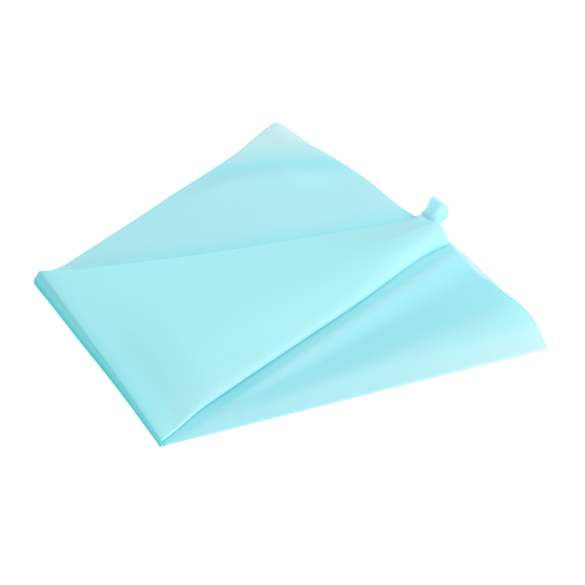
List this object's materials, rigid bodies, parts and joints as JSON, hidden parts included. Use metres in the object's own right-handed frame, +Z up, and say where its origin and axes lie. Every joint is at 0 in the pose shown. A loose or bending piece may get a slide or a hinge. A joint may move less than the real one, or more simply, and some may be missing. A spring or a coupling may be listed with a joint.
{
  "type": "piping bag",
  "caption": "Reusable conical piping bag of soft turquoise film, pressed flat and folded once across the middle, with a hanging loop at the mouth.",
  "frame": {"origin": "centre of the bottom of the bag's box, on the table that it lies on", "axes": "+X from the fold to the mouth, +Y along the fold and across the mouth, +Z up from the table"},
  "size_m": [0.1862, 0.2038, 0.0111],
  "materials": {
    "film": "soft frosted translucent film",
    "seam": "heat-welded double film",
    "loop": "soft frosted film strip"
  },
  "bodies": {
    "mouth_half": {"mouth_half_back_wall": "film", "mouth_half_front_wall": "film", "mouth_half_seam": "seam", "loop_tail": "loop"},
    "tip_half": {"tip_half_front_wall": "film", "tip_half_back_wall": "film", "tip_half_seam": "seam"},
    "loop": {"hanging_loop": "loop"}
  },
  "joints": [
    {"name": "fold_hinge", "type": "hinge", "parent": "mouth_half", "child": "tip_half", "pos_m": [-0.0931, -0.00844, 0.00263], "axis": [0, -0.9998, -0.021], "range_deg": [0, 178]},
    {"name": "loop_flex", "type": "hinge", "parent": "mouth_half", "child": "loop", "pos_m": [0.0835, -0.00184, 0.0017], "axis": [0, -1, 0], "range_deg": [-12, 50]}
  ]
}
